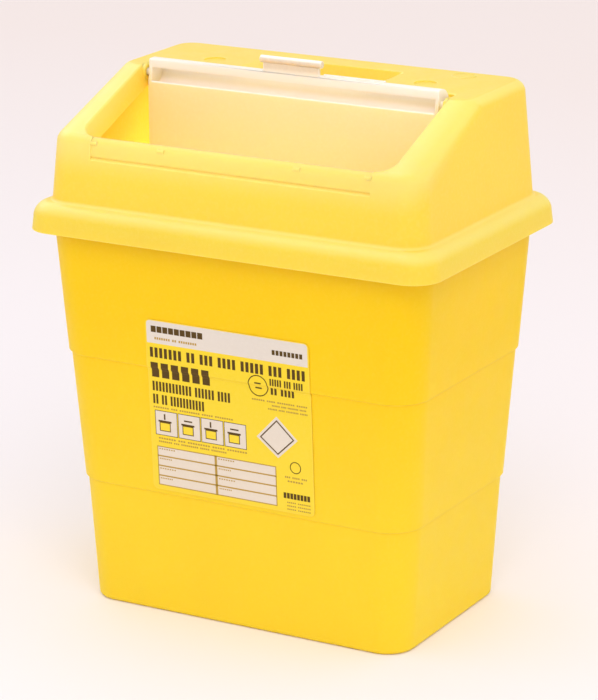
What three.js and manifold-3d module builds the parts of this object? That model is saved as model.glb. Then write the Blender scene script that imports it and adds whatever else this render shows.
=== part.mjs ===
// Sharps container: tapered bin, snap-on lid with a slanted drop opening,
// pivoting see-through closure flap, and the label on the front.
// Millimetres, +Z up, front towards -Y, origin at the middle of the underside.
import * as THREE from 'three';
import { ConvexGeometry } from 'three/addons/geometries/ConvexGeometry.js';
import { mergeVertices } from 'three/addons/utils/BufferGeometryUtils.js';
import Module from 'manifold-3d';

const wasm = await Module();
wasm.setup();

// ---- bin ----------------------------------------------------------------
const BIN_HALF_W = 122.0;        // half width at the floor
const BIN_HALF_D = 75.3;         // half depth at the floor
const BIN_TAPER_W = 0.066;       // growth of the half width per mm of height
const BIN_TAPER_D = 0.054;
const STEP_OUT = 1.24;           // each section stands out this much over the one below
const STEP_RISE = 1.4;           // height of the sloping ledge at a step
const STEP_Z = [88.3, 178.7];
const BIN_CORNER = 24;           // upright edges above the lowest ledge
const BIN_FOOT_CORNER = 20;      // upright edges at the floor
const BIN_FOOT_FILLET = 1.8;
const BIN_BRIM_Z = 280.2;
const BIN_WALL = 2.2;
const BIN_FLOOR = 2.8;
const SNAP_FLANGE_Z = 268.5;     // ring that the lid skirt snaps over
const SNAP_FLANGE_H = 2.4;
const SNAP_FLANGE_HALF_W = 148.0;
const SNAP_FLANGE_HALF_D = 96.0;

// ---- lid ----------------------------------------------------------------
const LID_WALL = 2.2;
const SKIRT_Z = 264.7;           // lower edge of the skirt
const SKIRT_HALF_W = 153.0;
const SKIRT_HALF_D = 100.8;
const SKIRT_DRAFT = 0.8;         // the skirt is this much narrower at its shoulder
const SKIRT_CORNER = 20;
const SHOULDER_Z = 273.0;        // where the skirt starts to roll inwards
const SHOULDER_R = 11.4;
const BODY_FOOT_Z = 278;         // lowest section of the upper body, inside the shoulder
const BODY_REF_Z = 287;          // height at which the half sizes below are given
const BODY_HALF_W = 141.6;
const BODY_HALF_D = 89.5;
const BODY_TAPER_W = 0.069;
const BODY_TAPER_FRONT = 0.078;
const BODY_TAPER_BACK = 0.052;
const BODY_CORNER = 17;          // plan radius of the upright edges
const BODY_EDGE = 8.5;           // soft rounding along the upper edges
const TOP_Z = 363.4;
const SLOPE_TOP_Y = -1.5;        // where the slanted face meets the flat top
const SLOPE_RUN = 82.0;
const SLOPE_DROP = 32.6;

// ---- drop opening in the slanted face -------------------------------------
const HOLE_HALF_W = 116.5;
const HOLE_FRONT_Y = -81.8;
const HOLE_BACK_Y = 13.6;
const HOLE_CORNER = 12;
const HOLE_BACK_CORNER = 3;
const HOLE_DRAFT = 3.4;          // the collar closes in by this much over its depth
const COLLAR_DEPTH = 15;
const COLLAR_WALL = 2.2;
const BAND_HALF_W = 105;         // landing band along the front lip
const BAND_DEPTH = 0.8;
const GROOVE_Z = 316.2;          // groove under the band
const GROOVE_H = 1.8;
const GROOVE_Y = -84.4;          // how far in the groove reaches
const CATCH_X = [-103, -51, 51, 103];
const CATCH_Y = -84.9;
const CATCH_Z = 326.8;
const CATCH_R = 1.5;
const CATCH_LEN = 5;

// ---- details on the flat top ----------------------------------------------
const RECESS_HALF_W = 54;
const RECESS_END_RUN = 9;        // sloping ends of the finger recess
const RECESS_BACK_Y = 60;
const RECESS_DEPTH = 8;
const DIMPLE_X = 81;
const DIMPLE_Y = 36;
const DIMPLE_R = 7.5;
const DIMPLE_DEPTH = 1.2;
const DISC_X = 94;
const DISC_Y = 67;
const DISC_R = 8.5;
const DISC_RING_W = 1.0;
const DISC_HEIGHT = 0.5;

// ---- closure flap ---------------------------------------------------------
const PIVOT_Y = 2.0;
const PIVOT_Z = 358.0;
const PIVOT_R = 2.5;
const PIVOT_END_X = 117.2;
const SOCKET_R = 3.0;
const SOCKET_BOSS_R = 5.6;
const SOCKET_BOSS_IN_X = 113.6;
const SOCKET_BOSS_OUT_X = 120.5;
const FLAP_HALF_W = 110.5;
const TROUGH_R = 10.4;           // round back of the hinge trough, about the pivot
const TROUGH_WALL = 2.0;
const TROUGH_ARC = 78;           // half opening angle of the round back, degrees
const STRIP_FRONT_Y = -2.4;      // front of the upper strip
const STRIP_LOW_Z = 362.3;
const RIDGE_Z = 353.0;           // top of the panel under the trough
const PANEL_FRONT_Y = -4.1;
const PANEL_T = 2.2;
const PANEL_LOW_Z = 273.0;
const PANEL_CORNER = 10;
const END_WALL = 2.4;
const TAB_HALF_W = 21.3;
const TAB_T = 2.2;
const TAB_TOP_Z = 376.4;
const TAB_BEAD_R = 2.5;
const TAB_BEAD_HALF_W = 23.3;
const RIB_X0 = 23;
const RIB_X1 = 69;
const RIB_Y = 1.1;
const RIB_T = 1.8;
const RIB_TOP_Z = 369.6;         // low enough to swing clear of the opening's rear edge

// ---- label ----------------------------------------------------------------
const LABEL_X0 = -63.0;
const LABEL_X1 = 61.6;
const LABEL_TOP_Z = 213.0;
const LABEL_LOW_Z = 91.6;
const LABEL_GAP = 0.3;
const LABEL_T = 0.35;

// ---- helpers --------------------------------------------------------------

/** Welded positions of a closed geometry, as a manifold solid. */
function solid(geometry) {
  const bare = geometry.clone();
  bare.deleteAttribute('normal');
  bare.deleteAttribute('uv');
  const welded = mergeVertices(bare, 1e-4);
  const index = welded.index.array;
  return new wasm.Manifold(new wasm.Mesh({
    numProp: 3,
    vertProperties: new Float32Array(welded.attributes.position.array),
    triVerts: new Uint32Array(index),
  }));
}

/** Named mesh from a manifold solid. */
function meshOf(name, body, material) {
  const out = body.getMesh();
  const geometry = new THREE.BufferGeometry();
  geometry.setAttribute('position', new THREE.BufferAttribute(new Float32Array(out.vertProperties), 3));
  geometry.setIndex(new THREE.BufferAttribute(new Uint32Array(out.triVerts), 1));
  geometry.computeVertexNormals();
  const mesh = new THREE.Mesh(geometry, material);
  mesh.name = name;
  return mesh;
}

/** Closed loop of plan points of a rounded rectangle, counter-clockwise. */
function roundedLoop(x0, x1, y0, y1, radius, segments, backRadius = radius) {
  const corners = [
    [x1 - backRadius, y1 - backRadius, backRadius, 0],
    [x0 + backRadius, y1 - backRadius, backRadius, 90],
    [x0 + radius, y0 + radius, radius, 180],
    [x1 - radius, y0 + radius, radius, 270],
  ];
  const loop = [];
  for (const [cx, cy, r, start] of corners) {
    for (let i = 0; i <= segments; i += 1) {
      const a = THREE.MathUtils.degToRad(start + (90 * i) / segments);
      loop.push([cx + r * Math.cos(a), cy + r * Math.sin(a)]);
    }
  }
  return loop;
}

/** Solid through a stack of loops; every level is { z, loop } with equal point counts. */
function loft(levels) {
  const count = levels[0].loop.length;
  const vertices = [];
  for (const level of levels) {
    for (const [x, y] of level.loop) vertices.push(x, y, level.z);
  }
  const faces = [];
  for (let k = 0; k + 1 < levels.length; k += 1) {
    for (let i = 0; i < count; i += 1) {
      const a = k * count + i;
      const b = k * count + ((i + 1) % count);
      faces.push(a, b, b + count, a, b + count, a + count);
    }
  }
  const top = (levels.length - 1) * count;
  for (let i = 1; i + 1 < count; i += 1) {
    faces.push(0, i + 1, i);
    faces.push(top, top + i, top + i + 1);
  }
  const geometry = new THREE.BufferGeometry();
  geometry.setAttribute('position', new THREE.Float32BufferAttribute(vertices, 3));
  geometry.setIndex(faces);
  return solid(geometry);
}

/** Level of a centred rounded rectangle. */
function level(z, halfW, halfD, radius, segments = 8) {
  return { z, loop: roundedLoop(-halfW, halfW, -halfD, halfD, radius, segments) };
}

/** Axis-aligned block from low to high corner. */
function block(x0, x1, y0, y1, z0, z1) {
  const geometry = new THREE.BoxGeometry(x1 - x0, y1 - y0, z1 - z0);
  geometry.translate((x0 + x1) / 2, (y0 + y1) / 2, (z0 + z1) / 2);
  return solid(geometry);
}

/** Round bar along X. */
function barX(x0, x1, y, z, radius, segments = 20) {
  const geometry = new THREE.CylinderGeometry(radius, radius, x1 - x0, segments);
  geometry.rotateZ(Math.PI / 2);
  geometry.translate((x0 + x1) / 2, y, z);
  return solid(geometry);
}

/** Upright round bar. */
function barZ(x, y, z0, z1, radius, segments = 28) {
  const geometry = new THREE.CylinderGeometry(radius, radius, z1 - z0, segments);
  geometry.rotateX(Math.PI / 2);
  geometry.translate(x, y, (z0 + z1) / 2);
  return solid(geometry);
}

/** Profile given in (y, z), swept along X from x0 to x1. */
function sweepX(profile, x0, x1) {
  const shape = new THREE.Shape(profile.map(([y, z]) => new THREE.Vector2(y, z)));
  const geometry = new THREE.ExtrudeGeometry(shape, { depth: x1 - x0, bevelEnabled: false });
  geometry.applyMatrix4(new THREE.Matrix4().set(
    0, 0, 1, x0,
    1, 0, 0, 0,
    0, 1, 0, 0,
    0, 0, 0, 1,
  ));
  return solid(geometry);
}

/** Points on an arc in (y, z) about a centre, angles in degrees from +Y. */
function arc(cy, cz, radius, from, to, steps) {
  const points = [];
  for (let i = 0; i <= steps; i += 1) {
    const a = THREE.MathUtils.degToRad(from + ((to - from) * i) / steps);
    points.push([cy + radius * Math.cos(a), cz + radius * Math.sin(a)]);
  }
  return points;
}

/** Height of the slanted face at a given y, lowered by drop. */
function slopeZ(y, drop = 0) {
  return TOP_Z - drop + ((y - SLOPE_TOP_Y) * SLOPE_DROP) / SLOPE_RUN;
}

// ---- bin ------------------------------------------------------------------

/** Half sizes of the bin's outside at a height, on section number tier. */
function binHalf(z, tier) {
  return [
    BIN_HALF_W + BIN_TAPER_W * z + STEP_OUT * tier,
    BIN_HALF_D + BIN_TAPER_D * z + STEP_OUT * tier,
  ];
}

/** Levels of the bin, shrunk by inset, with a rounded foot. */
function binLevels(inset, z0, z1, fillet) {
  const levels = [];
  const footSteps = 4;
  for (let i = 0; i < footSteps; i += 1) {
    const a = (Math.PI / 2) * (i / footSteps);
    const z = z0 + fillet * (1 - Math.cos(a));
    const back = fillet * (1 - Math.sin(a)) + inset;
    const [w, d] = binHalf(z, 0);
    levels.push(level(z, w - back, d - back, BIN_FOOT_CORNER - back));
  }
  const marks = [[z0 + fillet, 0]];
  STEP_Z.forEach((z, tier) => {
    marks.push([z - STEP_RISE / 2, tier]);
    marks.push([z + STEP_RISE / 2, tier + 1]);
  });
  marks.push([z1, STEP_Z.length]);
  for (const [z, tier] of marks) {
    const [w, d] = binHalf(z, tier);
    const rise = Math.min(z / STEP_Z[0], 1);
    const corner = THREE.MathUtils.lerp(BIN_FOOT_CORNER, BIN_CORNER, rise);
    levels.push(level(z, w - inset, d - inset, corner - inset));
  }
  return levels;
}

function makeBin() {
  const flange = loft([
    level(SNAP_FLANGE_Z, SNAP_FLANGE_HALF_W - 1.2, SNAP_FLANGE_HALF_D - 1.2, BIN_CORNER + 3),
    level(SNAP_FLANGE_Z + 1.0, SNAP_FLANGE_HALF_W, SNAP_FLANGE_HALF_D, BIN_CORNER + 4),
    level(SNAP_FLANGE_Z + SNAP_FLANGE_H, SNAP_FLANGE_HALF_W - 0.8, SNAP_FLANGE_HALF_D - 0.8, BIN_CORNER + 3),
  ]);
  const outside = loft(binLevels(0, 0, BIN_BRIM_Z, BIN_FOOT_FILLET)).add(flange);
  const inside = loft(binLevels(BIN_WALL, BIN_FLOOR, BIN_BRIM_Z + 1, BIN_FOOT_FILLET));
  return outside.subtract(inside);
}

// ---- lid ------------------------------------------------------------------

/** Skirt and rolled shoulder as a filled solid, shrunk by inset. */
function skirtForm(inset, lowZ) {
  const levels = [];
  const corner = SKIRT_CORNER - inset;
  levels.push(level(lowZ, SKIRT_HALF_W - inset, SKIRT_HALF_D - inset, corner));
  const w = SKIRT_HALF_W - SKIRT_DRAFT;
  const d = SKIRT_HALF_D - SKIRT_DRAFT;
  const steps = 6;
  for (let i = 0; i <= steps; i += 1) {
    const a = (Math.PI / 2) * (i / steps);
    const back = SHOULDER_R - (SHOULDER_R - inset) * Math.cos(a);
    const z = SHOULDER_Z + (SHOULDER_R - inset) * Math.sin(a);
    levels.push(level(z, w - back, d - back, SKIRT_CORNER - back * 0.9));
  }
  return loft(levels);
}

/** Where three planes n.p = c meet. */
function meet(planes) {
  const [a, b, c] = planes;
  const bc = new THREE.Vector3().crossVectors(b.n, c.n);
  const ca = new THREE.Vector3().crossVectors(c.n, a.n);
  const ab = new THREE.Vector3().crossVectors(a.n, b.n);
  const point = new THREE.Vector3();
  point.addScaledVector(bc, a.c).addScaledVector(ca, b.c).addScaledVector(ab, c.c);
  return point.divideScalar(a.n.dot(bc));
}

/** Points over the upper half of a disc with a rounded rim. */
function roundedDisc(radius, edge) {
  const around = 32;
  const up = 5;
  const points = [];
  for (let i = 0; i < around; i += 1) {
    const a = (2 * Math.PI * i) / around;
    for (let j = 0; j <= up; j += 1) {
      const b = (Math.PI / 2) * (j / up);
      const r = radius - edge + edge * Math.cos(b);
      points.push([r * Math.cos(a), r * Math.sin(a), edge * Math.sin(b)]);
    }
  }
  return points;
}

/** Upper body with soft edges as a filled solid, shrunk by inset. */
function bodyForm(inset, footZ) {
  const plane = (x, y, z, px, py, pz) => {
    const n = new THREE.Vector3(x, y, z).normalize();
    const reach = (BODY_CORNER - BODY_EDGE) * Math.hypot(n.x, n.y) + BODY_EDGE;
    return { n, c: n.dot(new THREE.Vector3(px, py, pz)) - reach };
  };
  const front = plane(0, -1, BODY_TAPER_FRONT, 0, -BODY_HALF_D, BODY_REF_Z);
  const back = plane(0, 1, BODY_TAPER_BACK, 0, BODY_HALF_D, BODY_REF_Z);
  const slope = plane(0, -SLOPE_DROP, SLOPE_RUN, 0, SLOPE_TOP_Y, TOP_Z);
  const top = plane(0, 0, 1, 0, 0, TOP_Z);
  const points = [];
  for (const sign of [-1, 1]) {
    const side = plane(sign, 0, BODY_TAPER_W, sign * BODY_HALF_W, 0, BODY_REF_Z);
    for (const corner of [meet([side, front, slope]), meet([side, slope, top]), meet([side, top, back])]) {
      for (const [x, y, z] of roundedDisc(BODY_CORNER - inset, BODY_EDGE - inset)) {
        points.push(new THREE.Vector3(corner.x + x, corner.y + y, corner.z + z));
      }
    }
  }
  const rise = footZ - BODY_REF_Z;
  const foot = roundedLoop(
    -(BODY_HALF_W - BODY_TAPER_W * rise) + inset,
    BODY_HALF_W - BODY_TAPER_W * rise - inset,
    -(BODY_HALF_D - BODY_TAPER_FRONT * rise) + inset,
    BODY_HALF_D - BODY_TAPER_BACK * rise - inset,
    BODY_CORNER - inset,
    8,
  );
  for (const [x, y] of foot) points.push(new THREE.Vector3(x, y, footZ));
  return solid(new ConvexGeometry(points));
}

/** Filled column over the drop opening, grown by grow, closing in below the slanted face. */
function openingColumn(grow) {
  const lowZ = slopeZ(HOLE_FRONT_Y, COLLAR_DEPTH + 12);
  const highZ = TOP_Z + 8;
  const closing = HOLE_DRAFT / COLLAR_DEPTH;
  const levelAt = (z, narrow) => ({
    z,
    loop: roundedLoop(
      -HOLE_HALF_W - grow + narrow,
      HOLE_HALF_W + grow - narrow,
      HOLE_FRONT_Y - grow + narrow * 0.4,
      HOLE_BACK_Y + grow,
      HOLE_CORNER + grow,
      7,
      HOLE_BACK_CORNER + grow,
    ),
  });
  const straight = loft([levelAt(lowZ, 0), levelAt(highZ, 0)]);
  const lean = SLOPE_DROP / SLOPE_RUN;
  const tapered = loft([levelAt(-40, 40 * closing), levelAt(10, -10 * closing)]);
  const sheared = tapered.transform([
    1, 0, 0, 0,
    0, 1, lean, 0,
    0, 0, 1, 0,
    0, 0, TOP_Z - SLOPE_TOP_Y * lean, 1,
  ]);
  return straight.intersect(sheared);
}

/** Everything above the slanted face and top, lowered by drop. */
function aboveSlope(drop) {
  const highZ = TOP_Z + 30;
  const profile = [
    [-120, slopeZ(-120, drop)],
    [SLOPE_TOP_Y, TOP_Z - drop],
    [100, TOP_Z - drop],
    [100, highZ],
    [-120, highZ],
  ];
  return sweepX(profile, -150, 150);
}

/** Finger recess behind the flap: sloping ends, open to the drop opening. */
function recessForm(grow) {
  const topZ = TOP_Z + 4;
  const lowZ = TOP_Z - RECESS_DEPTH - grow;
  const run = RECESS_END_RUN * ((topZ - lowZ) / RECESS_DEPTH);
  const y0 = HOLE_BACK_Y - 6;
  const y1 = RECESS_BACK_Y + grow;
  const halfTop = RECESS_HALF_W + grow + run - RECESS_END_RUN;
  const halfLow = halfTop - run;
  const levelAt = (z, half, yBack) => ({ z, loop: roundedLoop(-half, half, y0, yBack, 3, 3) });
  return loft([levelAt(lowZ, halfLow, y1 - 5), levelAt(topZ, halfTop, y1)]);
}

function makeLid() {
  const outside = skirtForm(0, SKIRT_Z).add(bodyForm(0, BODY_FOOT_Z));
  const hollow = skirtForm(LID_WALL, SKIRT_Z - 1).add(bodyForm(LID_WALL, BODY_FOOT_Z - 2));
  const collar = openingColumn(COLLAR_WALL).intersect(aboveSlope(COLLAR_DEPTH)).intersect(outside);
  const padHalf = BAND_HALF_W + 4;
  const frontPad = block(-padHalf, padHalf, -90, HOLE_FRONT_Y + 1, GROOVE_Z - 3, GROOVE_Z + 12);
  const recessTray = recessForm(LID_WALL).intersect(outside);
  let lid = outside.subtract(hollow).add(collar).add(frontPad.intersect(outside)).add(recessTray);

  for (const sign of [-1, 1]) {
    const x0 = Math.min(sign * SOCKET_BOSS_IN_X, sign * SOCKET_BOSS_OUT_X);
    const x1 = Math.max(sign * SOCKET_BOSS_IN_X, sign * SOCKET_BOSS_OUT_X);
    lid = lid.add(barX(x0, x1, PIVOT_Y, PIVOT_Z, SOCKET_BOSS_R).intersect(outside));
    const dimple = barZ(sign * DIMPLE_X, DIMPLE_Y, TOP_Z - DIMPLE_DEPTH, TOP_Z + 2, DIMPLE_R);
    lid = lid.subtract(dimple);
  }
  const ring = barZ(DISC_X, DISC_Y, TOP_Z - 0.4, TOP_Z + DISC_HEIGHT, DISC_R)
    .subtract(barZ(DISC_X, DISC_Y, TOP_Z - 1, TOP_Z + 1, DISC_R - DISC_RING_W));
  lid = lid.add(ring);

  const innerColumn = openingColumn(0).subtract(bossKeep());
  lid = lid.subtract(innerColumn).subtract(recessForm(0));
  const bandZone = block(-BAND_HALF_W, BAND_HALF_W, -95, -60, GROOVE_Z + 0.2, GROOVE_Z + 30);
  lid = lid.subtract(bandZone.subtract(bodyForm(BAND_DEPTH, BODY_FOOT_Z)));
  lid = lid.subtract(block(-BAND_HALF_W, BAND_HALF_W, -95, GROOVE_Y, GROOVE_Z, GROOVE_Z + GROOVE_H));
  for (const x of CATCH_X) {
    lid = lid.add(barX(x - CATCH_LEN / 2, x + CATCH_LEN / 2, CATCH_Y, CATCH_Z, CATCH_R, 16));
  }
  lid = lid.subtract(barX(-SOCKET_BOSS_OUT_X - 1, SOCKET_BOSS_OUT_X + 1, PIVOT_Y, PIVOT_Z, SOCKET_R));
  return lid;
}

/** Round bosses around the flap's pivots, kept when the opening is cut. */
function bossKeep() {
  const left = barX(-SOCKET_BOSS_OUT_X, -SOCKET_BOSS_IN_X, PIVOT_Y, PIVOT_Z, SOCKET_BOSS_R);
  const right = barX(SOCKET_BOSS_IN_X, SOCKET_BOSS_OUT_X, PIVOT_Y, PIVOT_Z, SOCKET_BOSS_R);
  return left.add(right);
}

// ---- closure flap ---------------------------------------------------------

function makeFlap() {
  const topArc = arc(PIVOT_Y, PIVOT_Z, TROUGH_R, TROUGH_ARC, -TROUGH_ARC, 14);
  const innerArc = arc(PIVOT_Y, PIVOT_Z, TROUGH_R - TROUGH_WALL, -TROUGH_ARC, TROUGH_ARC, 14);
  const topZ = topArc[0][1];
  const lowZ = topArc[topArc.length - 1][1];
  const trough = [
    [STRIP_FRONT_Y + 1.2, topZ],
    ...topArc,
    [PANEL_FRONT_Y + PANEL_T, lowZ],
    [PANEL_FRONT_Y + PANEL_T, PANEL_LOW_Z],
    [PANEL_FRONT_Y, PANEL_LOW_Z],
    [PANEL_FRONT_Y, RIDGE_Z - 1],
    [PANEL_FRONT_Y + 1, RIDGE_Z],
    [PANEL_FRONT_Y + PANEL_T, RIDGE_Z],
    [PANEL_FRONT_Y + PANEL_T + 0.6, lowZ + TROUGH_WALL],
    ...innerArc,
    [STRIP_FRONT_Y + TROUGH_WALL, topZ - TROUGH_WALL],
    [STRIP_FRONT_Y + TROUGH_WALL, STRIP_LOW_Z],
    [STRIP_FRONT_Y, STRIP_LOW_Z],
    [STRIP_FRONT_Y, topZ - 1.2],
  ];
  let flap = sweepX(trough, -FLAP_HALF_W, FLAP_HALF_W);

  const endProfile = [
    [STRIP_FRONT_Y + 1.2, topZ],
    ...topArc,
    [PANEL_FRONT_Y + PANEL_T, lowZ],
    [PANEL_FRONT_Y, lowZ],
    [PANEL_FRONT_Y, RIDGE_Z],
    [STRIP_FRONT_Y, STRIP_LOW_Z],
    [STRIP_FRONT_Y, topZ - 1.2],
  ];
  flap = flap.add(sweepX(endProfile, -FLAP_HALF_W, -FLAP_HALF_W + END_WALL));
  flap = flap.add(sweepX(endProfile, FLAP_HALF_W - END_WALL, FLAP_HALF_W));
  flap = flap.add(barX(-PIVOT_END_X, -FLAP_HALF_W + 1, PIVOT_Y, PIVOT_Z, PIVOT_R));
  flap = flap.add(barX(FLAP_HALF_W - 1, PIVOT_END_X, PIVOT_Y, PIVOT_Z, PIVOT_R));

  const corners = block(-200, 200, -10, 5, PANEL_LOW_Z - 5, PANEL_LOW_Z + PANEL_CORNER).subtract(
    panelFoot(),
  );
  flap = flap.subtract(corners);

  const tabY = STRIP_FRONT_Y + 0.4;
  flap = flap.add(block(-TAB_HALF_W, TAB_HALF_W, tabY, tabY + TAB_T, topZ - 1.5, TAB_TOP_Z));
  flap = flap.add(barX(-TAB_BEAD_HALF_W, TAB_BEAD_HALF_W, tabY + TAB_T / 2, TAB_TOP_Z, TAB_BEAD_R));
  flap = flap.add(block(RIB_X0, RIB_X1, RIB_Y, RIB_Y + RIB_T, topZ - 1, RIB_TOP_Z));
  return flap;
}

/** Lower end of the panel with its two rounded corners, as a slab along Y. */
function panelFoot() {
  const shape = new THREE.Shape();
  const z0 = PANEL_LOW_Z;
  const z1 = PANEL_LOW_Z + PANEL_CORNER + 1;
  const w = FLAP_HALF_W;
  shape.moveTo(-w, z1);
  shape.lineTo(-w, z0 + PANEL_CORNER);
  shape.absarc(-w + PANEL_CORNER, z0 + PANEL_CORNER, PANEL_CORNER, Math.PI, Math.PI * 1.5, false);
  shape.absarc(w - PANEL_CORNER, z0 + PANEL_CORNER, PANEL_CORNER, Math.PI * 1.5, Math.PI * 2, false);
  shape.lineTo(w, z1);
  shape.closePath();
  const geometry = new THREE.ExtrudeGeometry(shape, { depth: 30, bevelEnabled: false, curveSegments: 8 });
  geometry.rotateX(Math.PI / 2);
  geometry.translate(0, 15, 0);
  return solid(geometry);
}

// ---- label ----------------------------------------------------------------

/** Thin printed film over the front, following the ledge it crosses. */
function makeLabel() {
  const faceY = (z, tier) => -binHalf(z, tier)[1] - LABEL_GAP;
  const edge = STEP_Z[1];
  const near = [
    [faceY(LABEL_LOW_Z, 1), LABEL_LOW_Z],
    [faceY(edge - STEP_RISE, 1), edge - STEP_RISE],
    [faceY(edge + STEP_RISE / 2, 2), edge + STEP_RISE / 2],
    [faceY(LABEL_TOP_Z, 2), LABEL_TOP_Z],
  ];
  const far = near.map(([y, z]) => [y - LABEL_T, z]).reverse();
  const sheet = sweepX([...near, ...far], LABEL_X0, LABEL_X1);
  const outline = roundedLoop(LABEL_X0, LABEL_X1, LABEL_LOW_Z, LABEL_TOP_Z, 3.5, 4);
  const shape = new THREE.Shape(outline.map(([x, z]) => new THREE.Vector2(x, z)));
  const geometry = new THREE.ExtrudeGeometry(shape, { depth: 40, bevelEnabled: false });
  geometry.rotateX(Math.PI / 2);
  geometry.translate(0, -65, 0);
  return sheet.intersect(solid(geometry));
}

// ---- assembly -------------------------------------------------------------

const plastic = (color, roughness) => new THREE.MeshStandardMaterial({ color, roughness, metalness: 0 });
const binPlastic = plastic('#fcd02c', 0.48);
const lidPlastic = plastic('#fbdb5c', 0.5);
const flapPlastic = plastic('#f6e8c4', 0.4);
const labelFilm = plastic('#f7d648', 0.55);

const container = new THREE.Group();
container.name = 'sharps_container';
container.add(meshOf('bin', makeBin(), binPlastic));
container.add(meshOf('lid', makeLid(), lidPlastic));
container.add(meshOf('closure_flap', makeFlap(), flapPlastic));
container.add(meshOf('front_label', makeLabel(), labelFilm));

export default container;
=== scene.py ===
import math

import bmesh
import bpy
from mathutils import Matrix, Vector


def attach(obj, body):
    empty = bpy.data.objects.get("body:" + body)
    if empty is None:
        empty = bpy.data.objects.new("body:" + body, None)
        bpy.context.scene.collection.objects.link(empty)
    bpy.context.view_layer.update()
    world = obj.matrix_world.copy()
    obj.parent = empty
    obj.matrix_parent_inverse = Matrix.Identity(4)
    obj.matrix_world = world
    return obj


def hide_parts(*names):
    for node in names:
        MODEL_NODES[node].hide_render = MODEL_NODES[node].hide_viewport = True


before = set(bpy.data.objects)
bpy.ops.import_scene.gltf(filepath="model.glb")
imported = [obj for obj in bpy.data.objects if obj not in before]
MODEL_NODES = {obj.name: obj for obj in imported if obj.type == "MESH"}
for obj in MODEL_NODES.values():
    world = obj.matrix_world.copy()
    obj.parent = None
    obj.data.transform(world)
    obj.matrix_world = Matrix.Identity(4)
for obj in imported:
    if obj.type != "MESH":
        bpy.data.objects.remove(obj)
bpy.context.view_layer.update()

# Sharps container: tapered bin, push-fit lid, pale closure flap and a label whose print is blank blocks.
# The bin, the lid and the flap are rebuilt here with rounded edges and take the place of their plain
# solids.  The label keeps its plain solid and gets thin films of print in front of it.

MM = 0.001

# ---- dimensions in millimetres ------------------------------------------------
BIN_HALF_W, BIN_HALF_D = 122.0, 75.3
BIN_TAPER_W, BIN_TAPER_D = 0.066, 0.054
STEP_OUT, STEP_RISE = 1.24, 1.4
STEP_Z = (88.3, 178.7)
BIN_CORNER, BIN_FOOT_CORNER, BIN_FOOT_FILLET = 24.0, 20.0, 3.0
BIN_BRIM_Z, BIN_WALL, BIN_FLOOR = 280.2, 2.2, 2.8
RING_Z, RING_H, RING_HALF_W, RING_HALF_D = 268.5, 2.4, 148.0, 96.0

LID_WALL = 2.2
SKIRT_Z, SKIRT_HALF_W, SKIRT_HALF_D = 264.7, 153.0, 100.8
SKIRT_DRAFT, SKIRT_CORNER = 0.8, 20.0
SHOULDER_Z, SHOULDER_R, SHOULDER_FILLET = 273.0, 11.4, 3.4
BODY_FOOT_Z, BODY_REF_Z = 278.0, 287.0
BODY_HALF_W, BODY_HALF_D = 141.6, 89.5
BODY_TAPER_W, BODY_TAPER_FRONT, BODY_TAPER_BACK = 0.069, 0.078, 0.052
BODY_CORNER, BODY_EDGE = 17.0, 8.5
TOP_Z, SLOPE_TOP_Y, SLOPE_RUN, SLOPE_DROP = 363.4, -1.5, 82.0, 32.6

HOLE_HALF_W, HOLE_FRONT_Y, HOLE_BACK_Y = 116.5, -81.8, 13.6
HOLE_CORNER, HOLE_BACK_CORNER, HOLE_DRAFT = 12.0, 3.0, 3.4
COLLAR_DEPTH, COLLAR_WALL = 15.0, 2.2
BAND_HALF_W, BAND_DEPTH, BAND_BACK_Y, BAND_RISE = 105.0, 0.8, -60.0, 30.0
GROOVE_Z, GROOVE_H, GROOVE_Y, GROOVE_FRONT_Y, GROOVE_FALL = 316.2, 1.8, -85.3, -95.0, 5.0
CATCH_X, CATCH_Y, CATCH_Z, CATCH_R, CATCH_LEN = (-103, -51, 51, 103), -84.9, 326.8, 1.5, 5.0

RECESS_HALF_W, RECESS_END_RUN, RECESS_BACK_Y, RECESS_DEPTH = 54.0, 9.0, 60.0, 8.0
DIMPLE_X, DIMPLE_Y, DIMPLE_R, DIMPLE_DEPTH = 81.0, 36.0, 7.5, 1.2
DISC_X, DISC_Y, DISC_R, DISC_RING_W, DISC_HEIGHT = 94.0, 67.0, 8.5, 1.0, 0.5

PIVOT_Y, PIVOT_Z, PIVOT_R, PIVOT_END_X = 2.0, 358.0, 2.5, 117.2
SOCKET_R, BOSS_R, BOSS_IN_X, BOSS_OUT_X = 3.0, 5.6, 113.6, 120.5
FLAP_HALF_W, TROUGH_R, TROUGH_WALL, TROUGH_ARC = 110.5, 10.4, 2.0, 78.0
STRIP_FRONT_Y, STRIP_LOW_Z, STRIP_EDGE, RIDGE_Z = -2.4, 362.3, 1.2, 353.0
PANEL_FRONT_Y, PANEL_T, PANEL_LOW_Z, PANEL_CORNER, END_WALL = -4.1, 2.2, 273.0, 10.0, 2.4
TAB_HALF_W, TAB_T, TAB_TOP_Z, TAB_BEAD_R, TAB_BEAD_HALF_W = 21.3, 2.2, 376.4, 2.5, 23.3
RIB_X0, RIB_X1, RIB_Y, RIB_T, RIB_TOP_Z = 23.0, 69.0, 1.1, 1.8, 369.6

LABEL_X0, LABEL_X1, LABEL_TOP_Z = -63.0, 61.6, 213.0
LABEL_GAP, LABEL_T = 0.3, 0.35

# cutting blocks end here, outside the object
OUTSIDE_X, OUTSIDE_FRONT_Y, OUTSIDE_BACK_Y, OUTSIDE_UP = 200.0, -120.0, 100.0, 30.0

CORNER_STEPS = 16


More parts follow.
